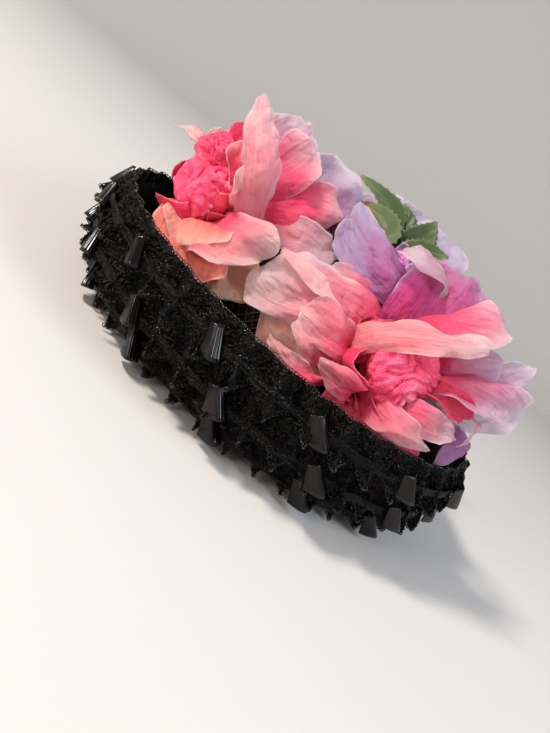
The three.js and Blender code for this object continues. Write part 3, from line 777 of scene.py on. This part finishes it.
def clear_of_hat(point):
    """Where cloth at a point comes to lie: over the crown and within the brim."""
    across, along, height = point
    far = math.hypot(across / CROWN_HALF_WIDTH, along / CROWN_HALF_LENGTH)
    if far < CROWN_SHOULDER:
        rise = np.interp(far, CROWN_SPREAD[::-1], CROWN_RISE[::-1])
        height = max(height, CROWN_FOOT + rise * (CROWN_TOP - CROWN_FOOT) + CLOTH_CLEARANCE)
    edge = 0.02 + np.interp((height - CROWN_FOOT) / (CROWN_TOP - CROWN_FOOT), CROWN_RISE,
                            CROWN_SPREAD)
    if CROWN_SHOULDER <= far < edge:
        across, along = across * edge / far, along * edge / far
    beyond = max(0, height - SPILL_HEIGHT) * SPILL_SLOPE - RIM_CLEARANCE
    half_width = np.interp(height, BRIM_HEIGHT, BRIM_HALF_WIDTH) + beyond
    half_length = np.interp(height, BRIM_HEIGHT, BRIM_HALF_LENGTH) + beyond
    out = max(1, math.hypot(across / half_width, along / half_length))
    return across / out, along / out, height


def fold_lift(part, aside, length, width, seed):
    """How far the sharp folds across a petal lift its cloth, in millimetres."""
    chance = np.random.default_rng(seed * 17)
    lift = 0
    for fold in range(FOLD_LINES):
        turn = chance.uniform(-0.9, 0.9)
        middle = chance.uniform(-0.8, 0.8) * width / 2
        away = (aside * width / 2 - middle) * math.cos(turn) + (part - 0.5) * length * math.sin(turn)
        spread = FOLD_WIDTH * chance.uniform(0.6, 1.5)
        lift = lift + (-1) ** fold * FOLD * np.maximum(0, 1 - np.abs(away) / spread)
    return lift


def line_length(points):
    return np.linalg.norm(np.diff(points, axis=0), axis=1).sum()


def petal_grid(rose, terms, seed):
    """A petal as a grid of points, with how near each point is to the rim (1 at the rim)."""
    calyx, axis = calyx_of(rose)
    line = [np.array(point, dtype=float) for point in terms["line"]]
    if not terms["loose"]:
        outward = line[0] - calyx
        outward = unit(outward - axis * outward.dot(axis))
        line.insert(0, calyx + outward * CALYX_RADIUS)
    line = np.array(line)
    marks = line_marks(line)
    widest = marks[-2]
    left = np.array(terms["left"]) - line[-2]
    right = np.array(terms["right"]) - line[-2]
    aside = np.linspace(-1, 1, PETAL_COLUMNS)[None, :]
    rows = np.linspace(0, 1, PETAL_ROWS)[:, None]
    ragged = np.array([noise.noise((1.3 * spot, seed * 1.7, 0.4)) for spot in aside[0]])
    part = rows * (1 - EDGE_SHORTENING * np.abs(aside) ** 3 - RAGGED * np.abs(ragged))
    rising = terms["foot"] + (1 - terms["foot"]) * np.sin(np.pi / 2 * np.minimum(part / widest, 1))
    beyond = np.maximum((part - widest) / (1 - widest), 0)
    half = np.where(part < widest, rising, 1 - (1 - terms["end"]) * beyond ** TIP_TAPER)
    sway = np.array([[noise.noise((3 * row / PETAL_ROWS, seed * 2.3, way)) for way in (-5, 5)]
                     for row in range(PETAL_ROWS)])
    half = half * (1 + 1.2 * RAGGED * np.where(aside < 0, sway[:, :1], sway[:, 1:]))
    grid = (on_line(line, marks, part)
            + (half * (aside ** 2 + aside) / 2)[..., None] * right
            + (half * (aside ** 2 - aside) / 2)[..., None] * left)
    rim = np.maximum(rows ** 2, np.abs(aside) * np.minimum(1, part * 2))
    normals = grid_normals(grid)
    folds = fold_lift(part, aside, line_length(line), np.linalg.norm(right - left), seed)
    for row in range(PETAL_ROWS):
        for column in range(PETAL_COLUMNS):
            spot = Vector(grid[row, column])
            broad = noise.noise(spot / CRUMPLE_SIZE + Vector((0, seed * 5.3, 0)))
            small = noise.noise(spot / (CRUMPLE_SIZE * 0.45) + Vector((seed * 2.9, 0, 0)))
            wave = noise.noise(spot / RUFFLE_SIZE + Vector((9, 0, seed * 7.1)))
            crumple = CRUMPLE * (1 - 4 * abs(broad)) + 0.5 * CRUMPLE * (1 - 4 * abs(small))
            lift = (terms["rough"] * part[row, column] * (folds[row, column] + crumple)
                    + RUFFLE * wave * rim[row, column] ** RUFFLE_AT_RIM)
            grid[row, column] = clear_of_hat(grid[row, column] + normals[row, column] * lift)
    return grid, rim


def add_marks(piece, **marks):
    """Numbers kept at each point of a piece, which its material reads."""
    for name, values in marks.items():
        layer = piece.data.attributes.new(name, "FLOAT", "POINT")
        layer.data.foreach_set("value", np.asarray(values, dtype=np.float32).ravel())


def mark_node(tree, name):
    return add_node(tree, "ShaderNodeAttribute", attribute_name=name).outputs["Fac"]


def mixed(tree, factor, first, second):
    return add_node(tree, "ShaderNodeMix", {"Factor": factor, 6: first, 7: second},
                    data_type="RGBA").outputs[2]


def maths(tree, kind, first, second, third=0):
    return add_node(tree, "ShaderNodeMath", {0: first, 1: second, 2: third}, operation=kind)


def creases_over(tree, place, scale, detail):
    """Sharp lines where a noise crosses its middle value."""
    value = maths(tree, "SUBTRACT", noise_over(tree, place, scale, detail), 0.5)
    return maths(tree, "ABSOLUTE", value, 0)


WARM_STEPS = (
    (0, (0.62, 0.003, 0.05)), (0.25, (0.86, 0.01, 0.12)), (0.45, (0.88, 0.08, 0.20)),
    (0.68, (0.88, 0.33, 0.38)), (1, (0.92, 0.74, 0.73)))
COOL_STEPS = (
    (0, (0.38, 0.003, 0.14)), (0.25, (0.54, 0.01, 0.28)), (0.45, (0.48, 0.12, 0.40)),
    (0.68, (0.48, 0.31, 0.58)), (1, (0.70, 0.64, 0.86)))
CREAM_STEPS = (
    (0, (0.72, 0.17, 0.08)), (0.5, (0.90, 0.44, 0.20)), (1, (0.93, 0.72, 0.46)))
PALE_EDGE = (0.95, 0.84, 0.84, 1)
WEAVE_STEP = 1.2
WEAVE_DEPTH = 0.15
STREAK_DEPTH = 2
CREASE_DEPTH = 8
BLOTS_PER_METRE = 45
STREAKS_PER_METRE = 420
CREASES_PER_METRE = 130
WRINKLES_PER_METRE = 85


def organza(name, cover_foot, cover_rim, sheer, creased):
    """Sheer cloth. It is dyed from foot to rim and shows its weave of fine, shiny threads. Its marks
    also carry painted shade and, in its violet mix, painted cool light.
    """
    look, tree, shader = new_look(name, (0.9, 0.4, 0.5), {
        "Roughness": 0.5, "Sheen Weight": 0.06, "Sheen Roughness": 0.4,
        "Specular IOR Level": 0.18})
    place, flat = object_place(tree), flat_map(tree)
    long_ways = add_node(tree, "ShaderNodeMapping", {"Vector": flat, "Scale": (1, 0.1, 1)})
    blots = noise_over(tree, place, BLOTS_PER_METRE, 3)
    streaks = noise_over(tree, long_ways, STREAKS_PER_METRE, 3)
    creases = creases_over(tree, long_ways, CREASES_PER_METRE, 1)
    wrinkles = creases_over(tree, place, WRINKLES_PER_METRE, 2)
    fade = maths(tree, "MULTIPLY_ADD", blots, 0.4, mark_node(tree, "fade"))
    fade = maths(tree, "MULTIPLY_ADD", streaks, 0.35, fade)
    fade = maths(tree, "SUBTRACT", fade, 0.4)
    warm, cool, cream = (
        colour_steps(tree, fade, steps) for steps in (WARM_STEPS, COOL_STEPS, CREAM_STEPS))
    # The violet mix is violet dye, and on the pink roses it is partly painted cool light on petals that
    # face up or lie towards the back.
    colour = mixed(tree, mark_node(tree, "cool"), warm, cool)
    colour = mixed(tree, mark_node(tree, "cream"), colour, cream)
    edge = add_node(tree, "ShaderNodeMapRange", {
        "Value": mark_node(tree, "rim"), "From Min": 0.94, "From Max": 1, "To Max": 0.7})
    colour = mixed(tree, maths(tree, "MULTIPLY", edge, fade), colour, PALE_EDGE)
    weave = maths(tree, "MAXIMUM", *(threads_over(tree, flat, WEAVE_STEP, 0.6, way) for way in "XY"))
    colour = mixed(tree, maths(tree, "MULTIPLY", weave, 0.1), colour, PALE_EDGE)
    bump = bump_on(tree, weave, WEAVE_DEPTH, 0.5)
    bump = bump_on(tree, streaks, STREAK_DEPTH, 0.6, bump)
    bump = bump_on(tree, creases, CREASE_DEPTH, creased, bump)
    bump = bump_on(tree, wrinkles, CREASE_DEPTH, 0.6, bump)
    cover = add_node(tree, "ShaderNodeMapRange", {
        "Value": fade, "To Min": cover_foot, "To Max": cover_rim})
    cover = maths(tree, "MULTIPLY_ADD", weave, 0.12, cover)
    set_inputs(tree, shader, {"Normal": bump, "Base Color": colour, "Alpha": cover})
    glow = add_node(tree, "ShaderNodeBsdfTranslucent", {"Color": colour})
    clear = add_node(tree, "ShaderNodeBsdfTransparent")
    thin = add_node(tree, "ShaderNodeMixShader", {"Fac": cover, 1: clear, 2: glow})
    both = add_node(tree, "ShaderNodeMixShader", {"Fac": sheer, 1: shader, 2: thin})
    set_inputs(tree, tree.nodes["Material Output"], {"Surface": both})
    return look


def cloth_area(grid):
    """The area in square millimetres of a grid of points."""
    first = np.cross(grid[1:, :-1] - grid[:-1, :-1], grid[:-1, 1:] - grid[:-1, :-1])
    second = np.cross(grid[1:, :-1] - grid[1:, 1:], grid[:-1, 1:] - grid[1:, 1:])
    return (np.linalg.norm(first, axis=2).sum() + np.linalg.norm(second, axis=2).sum()) / 2


def rose_petals(rose, petals, look):
    """All the petals of a rose as one sewn piece."""
    points, faces, flat, area = [], [], [], 0
    fades, cools, creams, rims = [], [], [], []
    rows = np.linspace(0, 1, PETAL_ROWS)[:, None]
    for number, terms in enumerate(petals):
        grid, rim = petal_grid(rose, terms, number + 1)
        faces.extend(grid_faces(PETAL_ROWS, PETAL_COLUMNS, len(points)))
        points.extend(grid.reshape(-1, 3))
        low, high = terms["fade"]
        pale = np.maximum(rows ** 1.5, rim ** 5 * np.minimum(1, rows * 2))
        fades.append(low + (high - low) * pale)
        # Violet grows towards the rim: violet dye on the lavender roses, and on the pink roses partly
        # painted cool light.
        cools.append(terms["cool"] * (terms["cool"] ** 2 + (1 - terms["cool"] ** 2) * rim))
        creams.append(np.full(rim.shape, terms["cream"]))
        rims.append(rim)
        length = line_length(grid[:, PETAL_COLUMNS // 2])
        width = line_length(grid[PETAL_ROWS * 2 // 3])
        flat.extend((width * column / (PETAL_COLUMNS - 1), length * row / (PETAL_ROWS - 1))
                    for row in range(PETAL_ROWS) for column in range(PETAL_COLUMNS))
        area += cloth_area(grid)
    piece = new_piece(f"{rose}_organza", points, faces, look)
    add_marks(piece, fade=fades, cool=cools, cream=creams, rim=rims)
    lay_flat(piece, flat)
    thicken(piece, ORGANZA_WALL)
    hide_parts(f"{rose}_petals")
    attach(piece, "root")


def inner_petals(rose, turns, reach, rise, width, cool):
    """Short petals that stand close round a heart, each at its turn. Their colour stays deep to the rim,
    as painted shade in the gaps round the heart.
    """
    return [round_petal(rose, (turn, reach, rise, width), (0, 0.12), cool) for turn in turns]


pink_organza = organza("pink_organza", 0.98, 0.4, 0.4, 0.4)
lavender_organza = organza("lavender_organza", 0.96, 0.4, 0.4, 0.4)
rose_petals("rose_1", [*ROSE_1, *inner_petals("rose_1", range(-40, 141, 60), 27, 16, 30, 0),
                       *cup_petals("rose_1", 18, range(-45, 151, 65), 0)], pink_organza)
rose_petals("rose_2", [*ROSE_2, *inner_petals("rose_2", range(20, 380, 52), 31, 18, 34, 0.1),
                       *cup_petals("rose_2", 21, range(0, 360, 72), 0.1)], pink_organza)
rose_petals("rose_3", [*ROSE_3, *cup_petals("rose_3", 15, range(0, 360, 90), 1)],
            lavender_organza)
rose_petals("rose_4", [ROSE_4_BACK, *(round_petal("rose_4", place, (0.1, 1), 0.85)
                                      for place in ROSE_4_ROUND)],
            lavender_organza)

# Hearts: a square of organza is crumpled into a ball over a little wadding and bound at the
# back, so that its folds swirl in deep creases to the middle.
HEART_COLUMNS = 130
HEART_ROWS = 72
HEART_SEAT = 3
HEART_CORE = 0.78
HEART_SWELLS = 0.13
HEART_RIDGES = 0.04
HEART_FLUTES = 0.05
HEART_LUMPS = 0.2
FLUTES_ROUND = 4.5
# Shift moves a heart from its seat in the calyx, cool and pale change its dye, and a lobe is a
# second ball beside the first.
HEARTS = (
    {"rose": "rose_1", "radius": 19, "shift": (1, 4, -1), "cool": 0, "pale": 0, "seed": 1,
     "lobe": {"off": (-3, -9, 22), "radius": 13}},
    {"rose": "rose_2", "radius": 23, "shift": (0, 2, 4), "cool": 0.05, "pale": 0, "seed": 9},
    {"rose": "rose_3", "radius": 16, "shift": (0, 0, 0), "cool": 1, "pale": 0.25, "seed": 3},
    {"rose": "rose_4", "radius": 16, "shift": (0, 0, 0), "cool": 0.9, "pale": 0.2, "seed": 4},
)


def billow(value, width):
    """0 in a sharp crease where a drift of noise crosses zero, up to 1 on the soft swells."""
    return min(1, abs(value) / width) ** 0.6


def crumpled_ball(seed, centre, size, turned):
    """Points of one crumpled ball and how deep their colour is, over rows from pole to pole. The colour
    varies at random, and it is deeper in the creases and paler on the swells and flute crests as painted
    shade.
    """
    shift = Vector((seed * 4.1 + size, seed * 2.3, 0))
    points, fades = [], []
    for row in range(HEART_ROWS + 1):
        tilt = math.pi * row / HEART_ROWS
        for column in range(HEART_COLUMNS):
            turn = FULL_TURN * column / HEART_COLUMNS
            ray = Vector((math.sin(tilt) * math.cos(turn), math.sin(tilt) * math.sin(turn),
                          math.cos(tilt)))
            lump = noise.noise(ray * 1.3 + shift)
            warp = Vector((lump, noise.noise(ray * 1.3 - shift),
                           noise.noise(ray * 1.3 + shift * 2)))
            swell = billow(noise.noise(ray * 1.1 + warp * 1.3 + shift), 0.3)
            ridge = billow(noise.noise(ray * 1.9 + warp * 2.2 - shift), 0.4)
            around = Vector((math.cos(turn), math.sin(turn), 0)) * FLUTES_ROUND
            flutes = billow(noise.noise(around + warp * 2.2 + Vector((0, 0, tilt * 0.9))), 0.4)
            flutes *= math.sin(tilt) ** 0.5
            reach = size * (HEART_CORE + HEART_SWELLS * swell + HEART_RIDGES * ridge
                            + HEART_FLUTES * flutes + HEART_LUMPS * lump)
            points.append(centre + np.array(turned @ (ray * reach)))
            # Painted shade: the colour is deeper in the creases and paler on the swells, ridges and
            # flute crests. The last term varies it at random.
            fades.append(0.1 + 0.18 * swell * (0.3 + 0.7 * ridge) + 0.12 * flutes
                         + 0.4 * max(0, noise.noise(ray * 1.6 - shift)))
    return points, fades


def ball_faces(start):
    """Faces of a crumpled ball whose points begin at a number, without its poles' own rows."""
    faces = []
    for row in range(1, HEART_ROWS - 1):
        here, above = start + row * HEART_COLUMNS, start + (row + 1) * HEART_COLUMNS
        for column in range(HEART_COLUMNS):
            beside = (column + 1) % HEART_COLUMNS
            faces.append((here + column, above + column, above + beside, here + beside))
    first, last = start + HEART_COLUMNS, start + (HEART_ROWS - 1) * HEART_COLUMNS
    faces.append(tuple(range(first, first + HEART_COLUMNS)))
    faces.append(tuple(range(last, last + HEART_COLUMNS))[::-1])
    return faces


def heart_piece(heart, look):
    """A heart and its lobe as one padded piece."""
    calyx, axis = calyx_of(heart["rose"])
    centre = calyx + axis * (HEART_SEAT + 0.875 * heart["radius"]) + heart["shift"]
    turned = Vector(axis).to_track_quat("Z", "Y").to_matrix()
    points, fades = crumpled_ball(heart["seed"], centre, heart["radius"], turned)
    faces = ball_faces(0)
    if "lobe" in heart:
        faces += ball_faces(len(points))
        more = crumpled_ball(heart["seed"], centre + heart["lobe"]["off"], heart["lobe"]["radius"],
                             turned)
        points += more[0]
        fades += more[1]
    piece = new_piece(f"{heart['rose']}_crumple", points, faces, look)
    nothing = np.zeros(len(points))
    add_marks(piece, fade=np.array(fades) + heart["pale"], cool=nothing + heart["cool"],
              cream=nothing, rim=nothing)
    lay_flat(piece, [(2 * step % (2 * HEART_COLUMNS) * 0.37, step // HEART_COLUMNS * 0.7)
                     for step in range(len(points))])
    body = bmesh.new()
    body.from_mesh(piece.data)
    bmesh.ops.delete(body, geom=[v for v in body.verts if not v.link_faces], context="VERTS")
    bmesh.ops.recalc_face_normals(body, faces=body.faces)
    body.to_mesh(piece.data)
    body.free()
    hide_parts(f"{heart['rose']}_heart")
    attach(piece, "root")


heart_look = organza("crumpled_organza", 1, 1, 0.08, 0.1)
for heart in HEARTS:
    heart_piece(heart, heart_look)

# Leaves: olive satin leaves, stiffened and pressed with a rib and veins, with pinked edges that
# have browned. Their stems go down between the roses to the top of the crown.
LEAF_ROWS = 34
LEAF_COLUMNS = 11
LEAF_WALL = 0.5
LEAF_STEM = 0.25
STEM_WIDTH = 0.08
LEAF_PINKING = 0.1
LEAF_TROUGH = 0.25
LEAF_CURL = 1.2
VEIN_RISE = 0.5
LEAF_STEPS = (
    (0.2, (0.015, 0.032, 0.005)), (0.5, (0.04, 0.072, 0.016)), (0.8, (0.12, 0.16, 0.06)),
    (0.92, (0.20, 0.13, 0.05)), (1, (0.12, 0.03, 0.015)))
# Faces is the way that a leaf's face looks, and age is how far it has browned.
LEAVES = (
    {"foot": (-6, -6, 118.6), "middle": (-8, 2, 149), "tip": (-10, -38, 159), "width": 22,
     "faces": (0.6, 0, 0.8), "age": 0.3},
    {"foot": (6, -8, 118.6), "middle": (4, 2, 144), "tip": (8, -22, 148), "width": 22,
     "faces": (0.8, 0, 0.6), "age": 0.5},
    {"foot": (-8, 12, 118.6), "middle": (-10, 24, 153), "tip": (-14, 24, 171), "width": 26,
     "faces": (1, 0, 0.1), "age": 0.2},
    {"foot": (2, 12, 118.6), "middle": (0, 28, 148), "tip": (-6, 46, 158), "width": 18,
     "faces": (0.8, 0, 0.6), "age": 0.3},
    {"foot": (-12, 2, 118.6), "middle": (-16, 10, 154), "tip": (-24, 0, 166), "width": 20,
     "faces": (0.8, 0, 0.6), "age": 0.2},
)


def leaf_cloth():
    look, tree, shader = new_look("leaf_cloth", (0.12, 0.2, 0.05), {
        "Roughness": 0.45, "Sheen Weight": 0.2})
    blots = noise_over(tree, object_place(tree), 60, 4)
    tone = maths(tree, "MULTIPLY_ADD", blots, 0.3, mark_node(tree, "fade"))
    set_inputs(tree, shader, {"Base Color": colour_steps(tree, tone, LEAF_STEPS)})
    return look


def leaf_grid(leaf, number):
    """A leaf's points, how brown each is, and its place on the flat cloth."""
    line = np.array([leaf["foot"], leaf["middle"], leaf["tip"]], dtype=float)
    marks = line_marks(line)
    faces_way = unit(leaf["faces"])
    grid, fades, flat = [], [], []
    for row in range(LEAF_ROWS):
        part = row / (LEAF_ROWS - 1)
        centre, ahead, back = on_line(line, marks, np.array([part, part + 0.01, part - 0.01]))
        side = unit(np.cross(ahead - back, faces_way))
        blade = max(0, (part - LEAF_STEM) / (1 - LEAF_STEM))
        half = leaf["width"] / 2 * max(STEM_WIDTH, math.sin(math.pi * blade ** 0.8) ** 0.8)
        for aside in np.linspace(-1, 1, LEAF_COLUMNS):
            away = abs(aside)
            notch = 1 + LEAF_PINKING * (-1) ** row * (away > 0.9)
            vein = VEIN_RISE * abs(math.sin(math.pi * (5 * blade - 1.3 * away))) * (blade > 0)
            curl = LEAF_CURL * noise.noise(Vector(centre) / 14 + Vector((aside, number, 0)))
            rise = LEAF_TROUGH * half * away + vein + curl * away
            grid.append(centre + side * aside * half * notch + faces_way * rise)
            fades.append(leaf["age"] + 0.18 * (1 - away) * (away < 0.15) + 0.5 * blade ** 9
                         + 0.14 * away ** 6)
            flat.append((half * aside, 60 * part))
    return grid, fades, flat


leaf_look = leaf_cloth()
for number, leaf in enumerate(LEAVES, 1):
    grid, fades, flat = leaf_grid(leaf, number)
    piece = new_piece(f"leaf_{number}_cloth", grid, grid_faces(LEAF_ROWS, LEAF_COLUMNS), leaf_look)
    add_marks(piece, fade=fades)
    lay_flat(piece, flat)
    thicken(piece, LEAF_WALL)
    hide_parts(f"leaf_{number}")
    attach(piece, "root")

# Studio: a plain pale floor that curves up into a wall all round, a large warm soft light above
# the front, a cooler one over the back and a weak low one, and the camera at the photo's angle
# to the hat. Lights and the camera are in metres.
FLOOR_COLUMNS = 96
FLOOR_RADIUS = 1500
WALL_RADIUS = 2300
WALL_HEIGHT = 1600
LIGHT_TARGET = (0, 0, 0.08)
LIGHTS = (
    {"name": "key_light", "place": (0.8, -1.3, 1.5), "size": 0.35, "watts": 50,
     "colour": (1, 0.9, 0.8)},
    {"name": "cool_light", "place": (0.5, 1.3, 1.1), "size": 0.8, "watts": 15,
     "colour": (0.84, 0.91, 1)},
    {"name": "low_light", "place": (1.15, -0.75, 0.45), "size": 0.5, "watts": 9,
     "colour": (1, 0.9, 0.82)},
)
CAMERA_TARGET = (0, 0, 0.066)
CAMERA_DISTANCE = 0.48
CAMERA_RISE = 11.5
CAMERA_ROLL = 42
FOCAL_LENGTH = 45.5
SHIFT = (-0.057, -0.096)

floor_look = new_look("pale_floor", (0.6, 0.595, 0.59), {"Roughness": 0.9})[0]
bend_radius = WALL_RADIUS - FLOOR_RADIUS
bend = [(FLOOR_RADIUS + bend_radius * math.sin(turn), bend_radius * (1 - math.cos(turn)))
        for turn in np.linspace(0.15, math.pi / 2, 9)]
floor_line = [(10, 0), (500, 0), (FLOOR_RADIUS, 0), *bend, (WALL_RADIUS, WALL_HEIGHT)]
floor_rings = [oval_ring(FLOOR_COLUMNS, radius, radius, height) for radius, height in floor_line]
floor_faces = [*ring_faces(floor_rings), tuple(range(FLOOR_COLUMNS))]
floor = new_piece("pale_floor", floor_rings, floor_faces, floor_look)

for light in LIGHTS:
    lamp = bpy.data.lights.new(light["name"], "AREA")
    lamp.shape = "DISK"
    lamp.size = light["size"]
    lamp.energy = light["watts"]
    lamp.color = light["colour"]
    lamp_object = new_object(light["name"], lamp)
    lamp_object.location = light["place"]
    aim = Vector(LIGHT_TARGET) - Vector(light["place"])
    lamp_object.rotation_euler = aim.to_track_quat("-Z", "Y").to_euler()
world = bpy.data.worlds.new("soft_sky")
world.use_nodes = True
set_inputs(world.node_tree, world.node_tree.nodes["Background"], {
    "Color": (0.93, 0.95, 1, 1), "Strength": 0.28})
bpy.context.scene.world = world
bpy.context.scene.view_settings.view_transform = "Standard"

camera_data = bpy.data.cameras.new("camera")
camera_data.sensor_fit = "HORIZONTAL"
camera_data.sensor_width = 36
camera_data.lens = FOCAL_LENGTH
camera_data.clip_start = 0.01
camera_data.shift_x, camera_data.shift_y = SHIFT
camera = new_object("camera", camera_data)
rise = math.radians(CAMERA_RISE)
target = Vector(CAMERA_TARGET)
camera.location = target + CAMERA_DISTANCE * Vector((math.cos(rise), 0, math.sin(rise)))
facing = (target - camera.location).to_track_quat("-Z", "Y").to_matrix()
camera.rotation_euler = (facing @ Matrix.Rotation(math.radians(CAMERA_ROLL), 3, "Z")).to_euler()
bpy.context.scene.camera = camera
